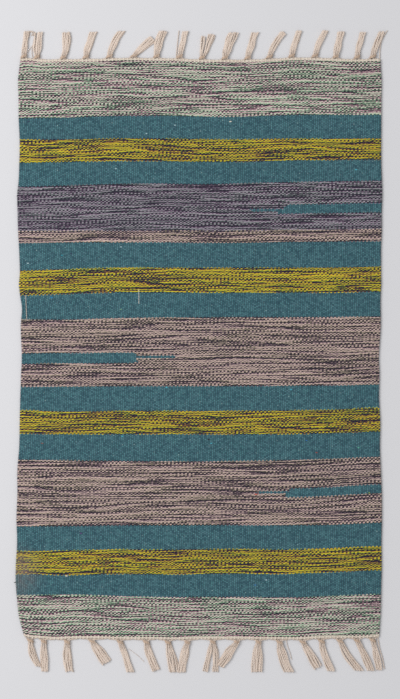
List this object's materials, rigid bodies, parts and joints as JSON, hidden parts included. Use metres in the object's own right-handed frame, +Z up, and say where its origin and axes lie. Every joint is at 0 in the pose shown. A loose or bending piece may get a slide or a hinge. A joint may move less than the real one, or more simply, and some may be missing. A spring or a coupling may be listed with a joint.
{
  "type": "kilim rug",
  "caption": "Flat-woven kilim rug with horizontal colour stripes, a cream end strip and knotted tassels at each end.",
  "frame": {"origin": "on the floor, under the middle of the rug's outline box, tassels included", "axes": "+Y along the rug's length towards its upper end, +X across its width to the right, +Z up"},
  "size_m": [0.6154, 1.063, 0.006],
  "materials": {
    "woven_cloth": "matt weft-faced cotton flatweave, striped teal, yellow, mauve and cream with navy",
    "cotton_yarn": "undyed cream cotton, plied yarn"
  },
  "bodies": {
    "root": {"woven_field": "woven_cloth", "fringe_top": "cotton_yarn", "fringe_bottom": "cotton_yarn"}
  },
  "joints": []
}
